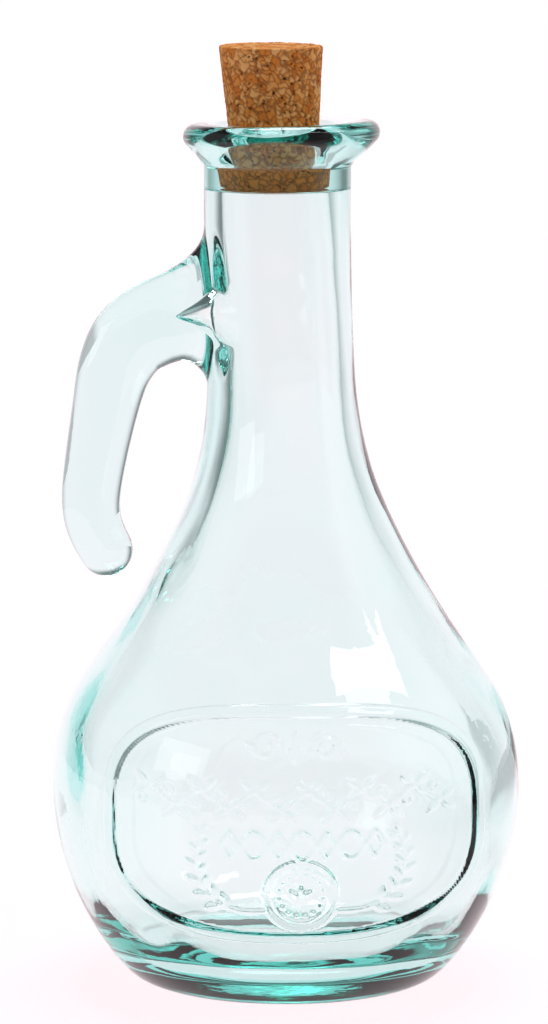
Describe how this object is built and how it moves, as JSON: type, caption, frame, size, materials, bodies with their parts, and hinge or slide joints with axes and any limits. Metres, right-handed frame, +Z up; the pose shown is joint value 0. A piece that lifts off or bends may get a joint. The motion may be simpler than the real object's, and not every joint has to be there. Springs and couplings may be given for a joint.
{
  "type": "oil cruet",
  "caption": "Pear-shaped oil cruet of thick pale green glass with a narrow neck, a rolled lip, a hook handle, a raised label frame and a tapered cork.",
  "frame": {"origin": "middle of the base, at the level of the table it stands on", "axes": "+Z up along the bottle; the handle is on the -X side and the label frame faces -Y"},
  "size_m": [0.1078, 0.1078, 0.2139],
  "materials": {
    "glass": "clear pale green recycled glass, polished, with a darker green in its thick edges",
    "cork": "matt pressed cork granules in light and dark brown with small dark pits"
  },
  "bodies": {
    "root": {"bottle": "glass", "cork": "cork"}
  },
  "joints": []
}
